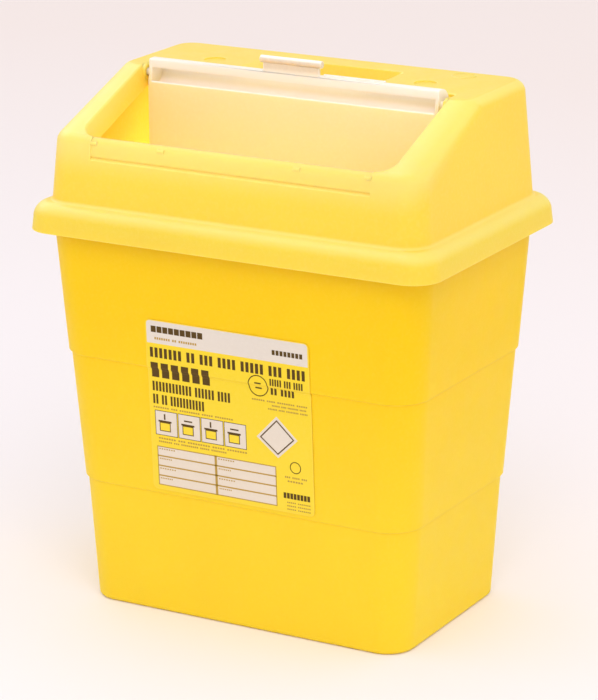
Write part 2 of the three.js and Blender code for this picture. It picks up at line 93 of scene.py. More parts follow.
# ---- mesh helpers, all in millimetres ---------------------------------------
def rounded_loop(x0, x1, y0, y1, radius, steps=CORNER_STEPS, back_radius=None):
    """Closed loop of plan points of a rounded rectangle, counter-clockwise."""
    back = radius if back_radius is None else back_radius
    corners = (
        (x1 - back, y1 - back, back, 0),
        (x0 + back, y1 - back, back, 90),
        (x0 + radius, y0 + radius, radius, 180),
        (x1 - radius, y0 + radius, radius, 270),
    )
    loop = []
    for cx, cy, r, start in corners:
        for i in range(steps + 1):
            a = math.radians(start + 90 * i / steps)
            loop.append((cx + r * math.cos(a), cy + r * math.sin(a)))
    return loop


def level(z, half_w, half_d, radius, steps=CORNER_STEPS):
    return [(x, y, z) for x, y in rounded_loop(-half_w, half_w, -half_d, half_d, radius, steps)]


def loft(levels):
    """Closed bmesh through a stack of loops with equal point counts."""
    bm = bmesh.new()
    rings = [[bm.verts.new(p) for p in points] for points in levels]
    count = len(rings[0])
    for low, high in zip(rings, rings[1:]):
        for i in range(count):
            j = (i + 1) % count
            bm.faces.new((low[i], low[j], high[j], high[i]))
    bm.faces.new(list(reversed(rings[0])))
    bm.faces.new(rings[-1])
    return bm


def sweep_x(profile, x0, x1):
    """Closed (y, z) profile swept along X."""
    bm = bmesh.new()
    ends = [[bm.verts.new((x, y, z)) for y, z in profile] for x in (x0, x1)]
    count = len(profile)
    for i in range(count):
        j = (i + 1) % count
        bm.faces.new((ends[0][i], ends[0][j], ends[1][j], ends[1][i]))
    bm.faces.new(list(reversed(ends[0])))
    bm.faces.new(ends[1])
    bmesh.ops.recalc_face_normals(bm, faces=bm.faces)
    return bm


def close_slab(bm, near_points, far_points):
    """Closed slab between two outlines with equal point counts, added to the bmesh."""
    near = [bm.verts.new(p) for p in near_points]
    far = [bm.verts.new(p) for p in far_points]
    for i in range(len(near)):
        j = (i + 1) % len(near)
        bm.faces.new((near[i], near[j], far[j], far[i]))
    bm.faces.new(list(reversed(near)))
    bm.faces.new(far)


def block(x0, x1, y0, y1, z0, z1):
    return sweep_x([(y0, z0), (y1, z0), (y1, z1), (y0, z1)], x0, x1)


def arc(cy, cz, radius, start, end, steps):
    """Points on an arc in (y, z), angles in degrees from +Y."""
    angles = [math.radians(start + (end - start) * i / steps) for i in range(steps + 1)]
    return [(cy + radius * math.cos(a), cz + radius * math.sin(a)) for a in angles]


def bar_x(x0, x1, y, z, radius, steps=32):
    return sweep_x(arc(y, z, radius, 0, 360, steps)[:-1], x0, x1)


def bar_z(x, y, z0, z1, radius, steps=48):
    ring = [
        (x + radius * math.cos(2 * math.pi * i / steps), y + radius * math.sin(2 * math.pi * i / steps))
        for i in range(steps)
    ]
    return loft([[(px, py, z) for px, py in ring] for z in (z0, z1)])


def solid(bm):
    """Scene object from a bmesh, which is freed."""
    mesh = bpy.data.meshes.new("work")
    bm.to_mesh(mesh)
    bm.free()
    obj = bpy.data.objects.new("work", mesh)
    bpy.context.scene.collection.objects.link(obj)
    return obj


def drop(obj):
    """Removes a work object and its mesh."""
    mesh = obj.data
    bpy.data.objects.remove(obj)
    bpy.data.meshes.remove(mesh)


def combine(base, tool, operation, keep_tool=False):
    """Base with tool added, cut away or intersected."""
    mod = base.modifiers.new("combine", "BOOLEAN")
    mod.object = tool
    mod.operation = operation
    mod.solver = "MANIFOLD"
    graph = bpy.context.evaluated_depsgraph_get()
    mesh = bpy.data.meshes.new_from_object(base.evaluated_get(graph), depsgraph=graph)
    base.modifiers.clear()
    old = base.data
    base.data = mesh
    bpy.data.meshes.remove(old)
    if not keep_tool:
        drop(tool)
    return base


def add(base, tool, **options):
    return combine(base, tool, "UNION", **options)


def cut(base, tool, **options):
    return combine(base, tool, "DIFFERENCE", **options)


def common(base, tool, **options):
    return combine(base, tool, "INTERSECT", **options)


def lerp(a, b, t):
    return a + (b - a) * t


def finish_piece(obj, name, material):
    """Gives a millimetre mesh its name, material, shading and real size."""
    obj.name = name
    obj.data.name = name
    obj.data.transform(Matrix.Scale(MM, 4))
    obj.data.materials.clear()
    obj.data.materials.append(material)
    obj.data.polygons.foreach_set("material_index", [0] * len(obj.data.polygons))
    obj.data.polygons.foreach_set("use_smooth", [True] * len(obj.data.polygons))
    mod = obj.modifiers.new("even_shading", "WEIGHTED_NORMAL")
    mod.keep_sharp = True
    mod.weight = 80
    return obj


def soften_edges(bm, pick, width, segments=3):
    """Rounds the edges that pick accepts."""
    edges = [e for e in bm.edges if len(e.link_faces) == 2 and pick(e)]
    if edges:
        bmesh.ops.bevel(
            bm, geom=edges, offset=width, segments=segments, profile=0.5, affect="EDGES", clamp_overlap=False
        )


def tidy_mesh(bm, splits=(), angle=0.25):
    """Merges flat facets, but keeps edges along the split planes so that no face surrounds a hole."""
    bmesh.ops.remove_doubles(bm, verts=bm.verts, dist=0.002)
    for axis, place in splits:
        normal = Vector((0, 0, 0))
        normal[axis] = 1
        parts = bm.verts[:] + bm.edges[:] + bm.faces[:]
        bmesh.ops.bisect_plane(bm, geom=parts, plane_co=normal * place, plane_no=normal, dist=0.0005)
    for edge in bm.edges:
        edge.seam = any(all(abs(v.co[axis] - place) < 0.001 for v in edge.verts) for axis, place in splits)
    bmesh.ops.dissolve_limit(
        bm, angle_limit=math.radians(angle), verts=bm.verts, edges=bm.edges, delimit={"SEAM"}
    )


# ---- bin ---------------------------------------------------------------------
def bin_half(z, tier):
    return BIN_HALF_W + BIN_TAPER_W * z + STEP_OUT * tier, BIN_HALF_D + BIN_TAPER_D * z + STEP_OUT * tier


def bin_side(inset, floor_z, ring):
    """Levels of one side of the bin's wall from the floor to the brim."""
    levels = []
    fillet_steps = 6
    for i in range(fillet_steps):
        a = math.pi / 2 * i / fillet_steps
        z = floor_z + BIN_FOOT_FILLET * (1 - math.cos(a))
        back = BIN_FOOT_FILLET * (1 - math.sin(a)) + inset
        w, d = bin_half(z, 0)
        levels.append(level(z, w - back, d - back, BIN_FOOT_CORNER - back))
    marks = [(floor_z + BIN_FOOT_FILLET, 0.0), (40.0, 0.0)]
    ledge_steps = 6
    for tier, middle in enumerate(STEP_Z):
        marks.append((middle - 3.0, float(tier)))
        for i in range(ledge_steps + 1):
            t = i / ledge_steps
            marks.append((middle + STEP_RISE * (t - 0.5), tier + t * t * (3 - 2 * t)))
        marks.append((middle + 3.0, tier + 1.0))
    for z, tier in marks:
        w, d = bin_half(z, tier)
        corner = lerp(BIN_FOOT_CORNER, BIN_CORNER, min(z / STEP_Z[0], 1))
        levels.append(level(z, w - inset, d - inset, corner - inset))
    if ring:
        for z, w, d, grow in (
            (RING_Z - 0.6, None, None, 0),
            (RING_Z, RING_HALF_W - 1.2, RING_HALF_D - 1.2, 3),
            (RING_Z + 0.4, RING_HALF_W - 0.3, RING_HALF_D - 0.3, 3.7),
            (RING_Z + 1.0, RING_HALF_W, RING_HALF_D, 4),
            (RING_Z + 1.8, RING_HALF_W - 0.3, RING_HALF_D - 0.3, 3.7),
            (RING_Z + RING_H, RING_HALF_W - 0.8, RING_HALF_D - 0.8, 3),
            (RING_Z + RING_H + 0.3, None, None, 0),
        ):
            if w is None:
                w, d = bin_half(z, len(STEP_Z))
            levels.append(level(z, w - inset, d - inset, BIN_CORNER + grow))
    for z, back in ((BIN_BRIM_Z - 0.7, 0.0), (BIN_BRIM_Z - 0.2, 0.2), (BIN_BRIM_Z, 0.7)):
        w, d = bin_half(z, len(STEP_Z))
        inward = back if inset == 0 else -back
        levels.append(level(z, w - inset - inward, d - inset - inward, BIN_CORNER - inset - inward))
    return levels


def make_bin(material):
    """Open shell: up the outside with its ledges and ring, over the brim and down the inside."""
    outside = bin_side(0.0, 0.0, True)
    inside = bin_side(BIN_WALL, BIN_FLOOR, False)
    bm = loft(outside + inside[::-1])
    return finish_piece(solid(bm), "bin_shell", material)


# ---- lid ---------------------------------------------------------------------
def slope_z(y, lowered=0.0):
    return TOP_Z - lowered + (y - SLOPE_TOP_Y) * SLOPE_DROP / SLOPE_RUN


def skirt_form(inset, low_z):
    """Skirt and rolled shoulder as a filled solid, shrunk by inset."""
    levels = [level(low_z, SKIRT_HALF_W - inset, SKIRT_HALF_D - inset, SKIRT_CORNER - inset)]
    w, d = SKIRT_HALF_W - SKIRT_DRAFT, SKIRT_HALF_D - SKIRT_DRAFT
    steps = 12
    for i in range(steps + 1):
        a = math.pi / 2 * i / steps
        back = SHOULDER_R - (SHOULDER_R - inset) * math.cos(a)
        z = SHOULDER_Z + (SHOULDER_R - inset) * math.sin(a)
        levels.append(level(z, w - back, d - back, SKIRT_CORNER - back * 0.9))
    return solid(loft(levels))


def meet(a, b, c):
    """Where three planes (normal, offset) meet."""
    return (b[0].cross(c[0]) * a[1] + c[0].cross(a[0]) * b[1] + a[0].cross(b[0]) * c[1]) / a[0].dot(
        b[0].cross(c[0])
    )


def body_form(inset, foot_z):
    """Upper body with soft edges as a filled solid, shrunk by inset."""

    def plane(normal, point):
        n = Vector(normal).normalized()
        reach = (BODY_CORNER - BODY_EDGE) * math.hypot(n.x, n.y) + BODY_EDGE
        return n, n.dot(Vector(point)) - reach

    front = plane((0, -1, BODY_TAPER_FRONT), (0, -BODY_HALF_D, BODY_REF_Z))
    back = plane((0, 1, BODY_TAPER_BACK), (0, BODY_HALF_D, BODY_REF_Z))
    slope = plane((0, -SLOPE_DROP, SLOPE_RUN), (0, SLOPE_TOP_Y, TOP_Z))
    top = plane((0, 0, 1), (0, 0, TOP_Z))
    around, up = 4 * CORNER_STEPS, 9
    radius, edge = BODY_CORNER - inset, BODY_EDGE - inset
    bm = bmesh.new()
    for sign in (-1, 1):
        side = plane((sign, 0, BODY_TAPER_W), (sign * BODY_HALF_W, 0, BODY_REF_Z))
        for corner in (meet(side, front, slope), meet(side, slope, top), meet(side, top, back)):
            for i in range(around):
                a = 2 * math.pi * i / around
                for j in range(up + 1):
                    b = math.pi / 2 * j / up
                    r = radius - edge + edge * math.cos(b)
                    bm.verts.new(corner + Vector((r * math.cos(a), r * math.sin(a), edge * math.sin(b))))
    rise = foot_z - BODY_REF_Z
    foot = rounded_loop(
        -(BODY_HALF_W - BODY_TAPER_W * rise) + inset,
        BODY_HALF_W - BODY_TAPER_W * rise - inset,
        -(BODY_HALF_D - BODY_TAPER_FRONT * rise) + inset,
        BODY_HALF_D - BODY_TAPER_BACK * rise - inset,
        BODY_CORNER - inset,
    )
    for x, y in foot:
        bm.verts.new((x, y, foot_z))
    bmesh.ops.convex_hull(bm, input=bm.verts)
    loose = [v for v in bm.verts if not v.link_faces]
    bmesh.ops.delete(bm, geom=loose, context="VERTS")
    bmesh.ops.recalc_face_normals(bm, faces=bm.faces)
    bmesh.ops.dissolve_limit(bm, angle_limit=math.radians(0.2), verts=bm.verts, edges=bm.edges)
    return solid(bm)


def shoulder_fillet():
    """Filled solid that rounds the crease between the shoulder and the upper body."""
    radius = SHOULDER_FILLET
    high_z = SHOULDER_Z + math.sqrt((SHOULDER_R + radius) ** 2 - (radius + 1) ** 2)
    height, most_drop, sunk = 5.0, 0.96, 0.02
    levels = []
    for rise in (0, 1.6, 2.0, 2.4, 2.8, 3.2, 3.6, 4.2, height):
        z = high_z - height + rise
        drop_to = min(high_z - z, most_drop * radius)
        grow = radius - math.sqrt(radius**2 - drop_to**2) - sunk
        lift = z - BODY_REF_Z
        half_w = BODY_HALF_W - BODY_TAPER_W * lift + grow
        front = -(BODY_HALF_D - BODY_TAPER_FRONT * lift) - grow
        back = BODY_HALF_D - BODY_TAPER_BACK * lift + grow
        loop = rounded_loop(-half_w, half_w, front, back, BODY_CORNER + grow)
        levels.append([(x, y, z) for x, y in loop])
    return solid(loft(levels))


def opening_column(grow):
    """Filled column over the drop opening, grown by grow, closing in below the slanted face."""
    low_z, high_z = slope_z(HOLE_FRONT_Y, COLLAR_DEPTH + 12), TOP_Z + 8
    closing = HOLE_DRAFT / COLLAR_DEPTH

    def level_at(z, narrow):
        loop = rounded_loop(
            -HOLE_HALF_W - grow + narrow,
            HOLE_HALF_W + grow - narrow,
            HOLE_FRONT_Y - grow + narrow * 0.4,
            HOLE_BACK_Y + grow,
            HOLE_CORNER + grow,
            10,
            HOLE_BACK_CORNER + grow,
        )
        return [(x, y, z) for x, y in loop]

    straight = solid(loft([level_at(low_z, 0), level_at(high_z, 0)]))
    tapered = loft([level_at(-40, 40 * closing), level_at(10, -10 * closing)])
    lean = SLOPE_DROP / SLOPE_RUN
    shear = Matrix.Identity(4)
    shear[2][1] = lean
    shear[2][3] = TOP_Z - SLOPE_TOP_Y * lean
    bmesh.ops.transform(tapered, matrix=shear, verts=tapered.verts)
    return common(straight, solid(tapered))


def above_slope(lowered):
    """Everything above the slanted face and the top, both lowered."""
    high_z = TOP_Z + OUTSIDE_UP
    profile = [
        (OUTSIDE_FRONT_Y, slope_z(OUTSIDE_FRONT_Y, lowered)),
        (SLOPE_TOP_Y, TOP_Z - lowered),
        (OUTSIDE_BACK_Y, TOP_Z - lowered),
        (OUTSIDE_BACK_Y, high_z),
        (OUTSIDE_FRONT_Y, high_z),
    ]
    return solid(sweep_x(profile, -OUTSIDE_X, OUTSIDE_X))


def recess_form(grow):
    """Finger recess behind the flap: sloping ends, open to the drop opening."""
    high_z, low_z = TOP_Z + 4, TOP_Z - RECESS_DEPTH - grow
    run = RECESS_END_RUN * (high_z - low_z) / RECESS_DEPTH
    back_y = RECESS_BACK_Y + grow
    half_top = RECESS_HALF_W + grow + run - RECESS_END_RUN
    levels = []
    for z, half, y1 in ((low_z, half_top - run, back_y - 5), (high_z, half_top, back_y)):
        levels.append([(x, y, z) for x, y in rounded_loop(-half, half, HOLE_BACK_Y - 6, y1, 3, 6)])
    return solid(loft(levels))


def pivot_bosses():
    left = solid(bar_x(-BOSS_OUT_X, -BOSS_IN_X, PIVOT_Y, PIVOT_Z, BOSS_R))
    return add(left, solid(bar_x(BOSS_IN_X, BOSS_OUT_X, PIVOT_Y, PIVOT_Z, BOSS_R)))


def make_lid(material):
    """Shell with the shoulder, the collar round the drop opening, the recess, the band and the sockets."""
    outside = add(add(skirt_form(0, SKIRT_Z), body_form(0, BODY_FOOT_Z)), shoulder_fillet())
    hollow = add(skirt_form(LID_WALL, SKIRT_Z - 1), body_form(LID_WALL, BODY_FOOT_Z - 2))
    collar = common(common(opening_column(COLLAR_WALL), above_slope(COLLAR_DEPTH)), outside, keep_tool=True)
    pad_half = BAND_HALF_W + 4
    pad = block(-pad_half, pad_half, OUTSIDE_FRONT_Y, HOLE_FRONT_Y + 1, GROOVE_Z - 3, GROOVE_Z + 12)
    pad = common(solid(pad), outside, keep_tool=True)
    tray = common(recess_form(LID_WALL), outside, keep_tool=True)
    bosses = common(pivot_bosses(), outside, keep_tool=True)
    lid = cut(outside, hollow)
    for part in (collar, pad, tray, bosses):
        lid = add(lid, part)
    for x in (-DIMPLE_X, DIMPLE_X):
        lid = cut(lid, solid(bar_z(x, DIMPLE_Y, TOP_Z - DIMPLE_DEPTH, TOP_Z + 2, DIMPLE_R)))
    ring = cut(
        solid(bar_z(DISC_X, DISC_Y, TOP_Z - 0.4, TOP_Z + DISC_HEIGHT, DISC_R)),
        solid(bar_z(DISC_X, DISC_Y, TOP_Z - 1, TOP_Z + 1, DISC_R - DISC_RING_W)),
    )
    lid = add(lid, ring)
    lid = cut(lid, cut(opening_column(0), pivot_bosses()))
    lid = cut(lid, recess_form(0))
    low_z, high_z = GROOVE_Z + 0.2, GROOVE_Z + BAND_RISE
    band = block(-BAND_HALF_W, BAND_HALF_W, OUTSIDE_FRONT_Y, BAND_BACK_Y, low_z, high_z)
    lid = cut(lid, cut(solid(band), body_form(BAND_DEPTH, BODY_FOOT_Z)))
    groove_top = GROOVE_Z + GROOVE_H
    groove = [
        (GROOVE_FRONT_Y, GROOVE_Z - GROOVE_FALL),
        (GROOVE_Y, GROOVE_Z + 0.5),
        (GROOVE_Y, groove_top),
        (GROOVE_FRONT_Y, groove_top),
    ]
    lid = cut(lid, solid(sweep_x(groove, -BAND_HALF_W, BAND_HALF_W)))
    for x in CATCH_X:
        lid = add(lid, solid(bar_x(x - CATCH_LEN / 2, x + CATCH_LEN / 2, CATCH_Y, CATCH_Z, CATCH_R, 20)))
    for sign in (-1, 1):
        ends = sorted((sign * (BOSS_IN_X - 1), sign * (BOSS_OUT_X + 1)))
        lid = cut(lid, solid(bar_x(*ends, PIVOT_Y, PIVOT_Z, SOCKET_R)))
    bm = bmesh.new()
    bm.from_mesh(lid.data)
    tidy_mesh(bm, ((0, 0), (0, DIMPLE_X), (0, -DIMPLE_X), (0, DISC_X), (1, DIMPLE_Y), (1, DISC_Y), (1, -40)))

    def middle(e):
        return (e.verts[0].co + e.verts[1].co) / 2

    def on_top(p):
        return abs(p.z - min(TOP_Z, slope_z(p.y))) < 1.2

    def rim(e):
        p = middle(e)
        inside = abs(p.x) < HOLE_HALF_W + 0.6 and HOLE_FRONT_Y - 0.6 < p.y < HOLE_BACK_Y + 0.6
        return inside and on_top(p) and e.is_convex and e.calc_face_angle(0) > math.radians(40)

    soften_edges(bm, rim, 1.3, 4)
    soften_edges(bm, lambda e: e.calc_face_angle(0) > math.radians(38), 0.3, 2)
    bm.to_mesh(lid.data)
    bm.free()
    return finish_piece(lid, "lid_shell", material)


# ---- closure flap --------------------------------------------------------------
def make_flap(material):
    """Panel that hangs from a trough along its pivots, with the strip, the finger tab and the low rib."""
    outer = arc(PIVOT_Y, PIVOT_Z, TROUGH_R, TROUGH_ARC, -TROUGH_ARC, 36)
    inner = arc(PIVOT_Y, PIVOT_Z, TROUGH_R - TROUGH_WALL, -TROUGH_ARC, TROUGH_ARC, 30)
    top_z, low_z = outer[0][1], outer[-1][1]
    panel_back = PANEL_FRONT_Y + PANEL_T
    strip_edge_y = STRIP_FRONT_Y + STRIP_EDGE
    profile = [
        (strip_edge_y, top_z),
        *outer,
        (panel_back, low_z),
        (panel_back, PANEL_LOW_Z),
        (PANEL_FRONT_Y, PANEL_LOW_Z),
        (PANEL_FRONT_Y, RIDGE_Z - 1),
        (PANEL_FRONT_Y + 0.3, RIDGE_Z - 0.3),
        (PANEL_FRONT_Y + 1, RIDGE_Z),
        (panel_back, RIDGE_Z),
        (panel_back + 0.6, low_z + TROUGH_WALL),
        *inner,
        (STRIP_FRONT_Y + TROUGH_WALL, top_z - TROUGH_WALL),
        (STRIP_FRONT_Y + TROUGH_WALL, STRIP_LOW_Z),
        (STRIP_FRONT_Y, STRIP_LOW_Z),
        *arc(strip_edge_y, top_z - STRIP_EDGE, STRIP_EDGE, 180, 90, 6)[:-1],
    ]
    flap = solid(sweep_x(profile, -FLAP_HALF_W, FLAP_HALF_W))
    end = [
        (strip_edge_y, top_z),
        *outer,
        (panel_back, low_z),
        (PANEL_FRONT_Y, low_z),
        (PANEL_FRONT_Y, RIDGE_Z),
        (STRIP_FRONT_Y, STRIP_LOW_Z),
        (STRIP_FRONT_Y, top_z - STRIP_EDGE),
    ]
    for x0, x1 in ((-FLAP_HALF_W, END_WALL - FLAP_HALF_W), (FLAP_HALF_W - END_WALL, FLAP_HALF_W)):
        flap = add(flap, solid(sweep_x(end, x0, x1)))
    for x0, x1 in ((-PIVOT_END_X, 1 - FLAP_HALF_W), (FLAP_HALF_W - 1, PIVOT_END_X)):
        flap = add(flap, solid(bar_x(x0, x1, PIVOT_Y, PIVOT_Z, PIVOT_R)))

    foot_loop = rounded_loop(
        -FLAP_HALF_W, FLAP_HALF_W, PANEL_LOW_Z, PANEL_LOW_Z + 4 * PANEL_CORNER, PANEL_CORNER, 12
    )
    foot = bmesh.new()
    close_slab(foot, [(x, -15, z) for x, z in foot_loop], [(x, 15, z) for x, z in foot_loop])
    bmesh.ops.recalc_face_normals(foot, faces=foot.faces)
    waste = solid(block(-OUTSIDE_X, OUTSIDE_X, -10, 5, PANEL_LOW_Z - 5, PANEL_LOW_Z + PANEL_CORNER))
    flap = cut(flap, cut(waste, solid(foot)))

    tab_y = STRIP_FRONT_Y + 0.4
    flap = add(flap, solid(block(-TAB_HALF_W, TAB_HALF_W, tab_y, tab_y + TAB_T, top_z - 1.5, TAB_TOP_Z)))
    bead = bar_x(-TAB_BEAD_HALF_W, TAB_BEAD_HALF_W, tab_y + TAB_T / 2, TAB_TOP_Z, TAB_BEAD_R)
    flap = add(flap, solid(bead))
    flap = add(flap, solid(block(RIB_X0, RIB_X1, RIB_Y, RIB_Y + RIB_T, top_z - 1, RIB_TOP_Z)))
    bm = bmesh.new()
    bm.from_mesh(flap.data)
    tidy_mesh(bm)
    soften_edges(bm, lambda e: e.calc_face_angle(0) > math.radians(38), 0.35, 3)
    bm.to_mesh(flap.data)
    bm.free()
    return finish_piece(flap, "flap_shell", material)


# ---- label print ---------------------------------------------------------------
def label_y(z):
    """Outer face of the label film at a height."""
    proud = LABEL_GAP + LABEL_T
    below, above = STEP_Z[1] - STEP_RISE, STEP_Z[1] + STEP_RISE / 2
    if z <= below:
        return -bin_half(z, 1)[1] - proud
    if z >= above:
        return -bin_half(z, 2)[1] - proud
    t = (z - below) / (above - below)
    return lerp(-bin_half(below, 1)[1], -bin_half(above, 2)[1], t) - proud


def lay_on_label(bm, outline, lift, thick):
    """Thin closed film of ink with the given (x, z) outline, laid on the label."""
    near = [(x, label_y(z) - lift - thick, z) for x, z in outline]
    far = [(x, label_y(z) - lift, z) for x, z in outline]
    close_slab(bm, near, far)


def ink_box(bm, x0, x1, z0, z1, lift=0.02, thick=0.04):
    """Rectangle of ink, split where it crosses the bin's ledge."""
    below, above = STEP_Z[1] - STEP_RISE, STEP_Z[1] + STEP_RISE / 2
    cuts = [z0] + [z for z in (below, above) if z0 < z < z1] + [z1]
    for low, high in zip(cuts, cuts[1:]):
        lay_on_label(bm, [(x0, low), (x1, low), (x1, high), (x0, high)], lift, thick)


def ink_frame(bm, x0, x1, z0, z1, width):
    ink_box(bm, x0, x1, z0, z0 + width)
    ink_box(bm, x0, x1, z1 - width, z1)
    ink_box(bm, x0, x0 + width, z0 + width, z1 - width)
    ink_box(bm, x1 - width, x1, z0 + width, z1 - width)


def ink_ring(bm, x, z, radius, width, steps=40):
    for i in range(steps):
        a0, a1 = (2 * math.pi * k / steps for k in (i, i + 1))
        outline = [
            (x + r * math.cos(a), z + r * math.sin(a))
            for r, a in ((radius, a0), (radius, a1), (radius - width, a1), (radius - width, a0))
        ]
        lay_on_label(bm, outline[::-1], *INK_FILM)


def ink_line(bm, x0, x1, z0, z1, words, fill):
    """A row of blank blocks that stands for a line of print: words are block counts."""
    gap = 0.8
    total = sum(words) + gap * (len(words) - 1)
    pitch = (x1 - x0) / total
    x = x0
    for count in words:
        for k in range(count):
            ink_box(bm, x + pitch * k, x + pitch * (k + fill), z0, z1)
        x += pitch * (count + gap)


def label_piece(bm, name, material):
    bmesh.ops.recalc_face_normals(bm, faces=bm.faces)
    obj = solid(bm)
    obj.name = name
    obj.data.name = name
    obj.data.transform(Matrix.Scale(MM, 4))
    obj.data.materials.append(material)
    return obj


# Print films: gap in front of what lies behind, and thickness.
PANEL_FILM, FILL_FILM, INK_FILM = (0.005, 0.015), (0.025, 0.015), (0.02, 0.04)

# Rows of blank blocks: x from, x to, z from, z to, blocks in each word, filled share of a block's pitch.
DARK_ROWS = (
    (-58.5, -18, 204.4, 208.8, (9,), 0.86),
    (34, 57.5, 201.6, 205.0, (8,), 0.74),
    (-60, 59.5, 186.6, 193.6, (7, 2, 3, 4, 5, 3, 4), 0.64),
    (-60, -12.8, 172.2, 183.0, (6,), 0.72),
    (-60, 1, 162.4, 169.2, (12, 6, 4), 0.62),
    (-60, -19.5, 153.2, 160.0, (2, 2, 11), 0.62),
    (31.5, 57, 179.8, 184.6, (5, 3, 4), 0.62),
    (31.5, 50, 173.2, 178.0, (2, 4), 0.62),
    (38.5, 59, 101.6, 105.6, (8,), 0.78),
)
PALE_ROWS = (
    (-56, -23, 199.4, 201.0, (7, 2, 8), 0.7),
    (17, 59, 167.6, 168.7, (6, 4, 8, 5), 0.7),
    (32, 58, 165.0, 166.1, (6, 4, 8, 5), 0.7),
    (29, 59, 162.4, 163.5, (6, 4, 8, 5), 0.7),
    (-60, 2, 150.2, 151.3, (7, 3, 9, 5, 8), 0.7),
    (-57, 12, 128.2, 129.3, (7, 3, 9, 5, 8), 0.7),
    (-57, -4, 125.8, 126.9, (7, 3, 9, 5, 8), 0.7),
    (40, 57, 116.2, 117.4, (3, 4, 3), 0.7),
    (42, 54, 113.4, 114.6, (6,), 0.7),
    (41, 59, 98.4, 99.3, (5, 7), 0.7),
    (41, 59, 96.0, 96.9, (5, 7), 0.7),
    (41, 59, 93.6, 94.5, (5, 7), 0.7),
)

# Blank rings: x, z, outer radius, line width.
RINGS = ((22.3, 178.2, 7.6, 0.7), (48.2, 124.2, 4.2, 0.6))
RING_BARS_X, RING_BARS_Z, RING_BAR_H = (19.9, 24.7), (176.0, 179.6), 1.0

HEADER_LOW_Z, HEADER_SIDE, HEADER_TOP_GAP, HEADER_R = 196.6, 1.0, 0.6, 2.6
DIAMOND = ((35.0, 158.3), (19.4, 142.1), (35.3, 129.1), (50.5, 143.6))
PICTURE_X = (-59.5, -41.6, -23.7, -5.8, 11.8)
PICTURE_Z = (131.0, 148.6)
TABLE_X, TABLE_Z, TABLE_SPLIT = (-58.7, 33.5), (94.7, 123.0), -13.0


def make_label_panels(material):
    """White areas of the print."""
    bm = bmesh.new()
    x0, x1, z1, r = LABEL_X0 + HEADER_SIDE, LABEL_X1 - HEADER_SIDE, LABEL_TOP_Z - HEADER_TOP_GAP, HEADER_R
    header = [(x0, HEADER_LOW_Z), (x1, HEADER_LOW_Z)]
    header += arc(x1 - r, z1 - r, r, 0, 90, 6) + arc(x0 + r, z1 - r, r, 90, 180, 6)
    lay_on_label(bm, header, *PANEL_FILM)
    ink_box(bm, *TABLE_X, *TABLE_Z, *PANEL_FILM)
    for a, b in zip(PICTURE_X, PICTURE_X[1:]):
        ink_box(bm, a + 0.5, b - 0.5, PICTURE_Z[0] + 0.4, PICTURE_Z[1] - 0.4, *PANEL_FILM)
    lay_on_label(bm, list(DIAMOND), *PANEL_FILM)
    return label_piece(bm, "label_panels", material)


def make_label_print(material):
    """Dark ink: blocks in place of words, frames, blank diamond and rings."""
    bm = bmesh.new()
    for row in DARK_ROWS:
        ink_line(bm, *row)
    for ring in RINGS:
        ink_ring(bm, *ring)
    for z in RING_BARS_Z:
        ink_box(bm, *RING_BARS_X, z, z + RING_BAR_H)
    for a, b in zip(PICTURE_X, PICTURE_X[1:]):
        ink_frame(bm, a + 0.3, b - 0.3, *PICTURE_Z, 0.4)
    base = PICTURE_Z[0] + 3.0
    for k, x in enumerate(PICTURE_X[:-1]):
        ink_frame(bm, x + 3.6, x + 12.2, base, base + 6.5, 0.6)
        ink_box(bm, x + 2.8, x + 13.0, base + 6.5, base + 7.7)
        if k % 2 == 0:
            ink_box(bm, x + 7.2, x + 8.4, base + 8.4, base + 12.4)
        else:
            ink_box(bm, x + 5.0, x + 11.4, base + 9.4, base + 10.4)
    diamond_line(bm, 0.84, 0.76)
    return label_piece(bm, "label_print", material)


def diamond_line(bm, outer, inner):
    """Frame between two reduced copies of the diamond."""
    cx = sum(p[0] for p in DIAMOND) / 4
    cz = sum(p[1] for p in DIAMOND) / 4
    for p, q in zip(DIAMOND, DIAMOND[1:] + DIAMOND[:1]):
        far = [(lerp(cx, x, outer), lerp(cz, z, outer)) for x, z in (p, q)]
        near = [(lerp(cx, x, inner), lerp(cz, z, inner)) for x, z in (q, p)]
        lay_on_label(bm, far + near, *INK_FILM)


def make_label_fill(material):
    """Yellow areas inside the pictures."""
    bm = bmesh.new()
    for x in PICTURE_X[:-1]:
        ink_box(bm, x + 4.2, x + 11.6, PICTURE_Z[0] + 3.6, PICTURE_Z[0] + 8.9, *FILL_FILM)
    return label_piece(bm, "label_fill", material)


def make_label_tint(material):
    """Pale ink: small print as blocks and table rules."""
    bm = bmesh.new()
    for row in PALE_ROWS:
        ink_line(bm, *row)
    ink_frame(bm, *TABLE_X, *TABLE_Z, 0.7)
    ink_box(bm, TABLE_SPLIT - 0.9, TABLE_SPLIT + 0.9, *TABLE_Z)
    rows = 4
    for i in range(1, rows):
        z = lerp(*TABLE_Z, i / rows)
        ink_box(bm, *TABLE_X, z - 0.5, z + 0.5)
    for i in range(rows):
        z = lerp(*TABLE_Z, (i + 1) / rows) - 2.4
        for x in (TABLE_X[0] + 1.6, TABLE_SPLIT + 2.0):
            ink_line(bm, x, x + 10 + 3 * (i % 2), z, z + 0.9, (7,), 0.6)
    return label_piece(bm, "label_tint", material)


# ---- materials -------------------------------------------------------------------
def srgb(r, g, b):
    """Linear colour from 0 to 255 display values."""

    def linear(c):
        c /= 255
        return c / 12.92 if c <= 0.04045 else ((c + 0.055) / 1.055) ** 2.4

    return linear(r), linear(g), linear(b), 1.0


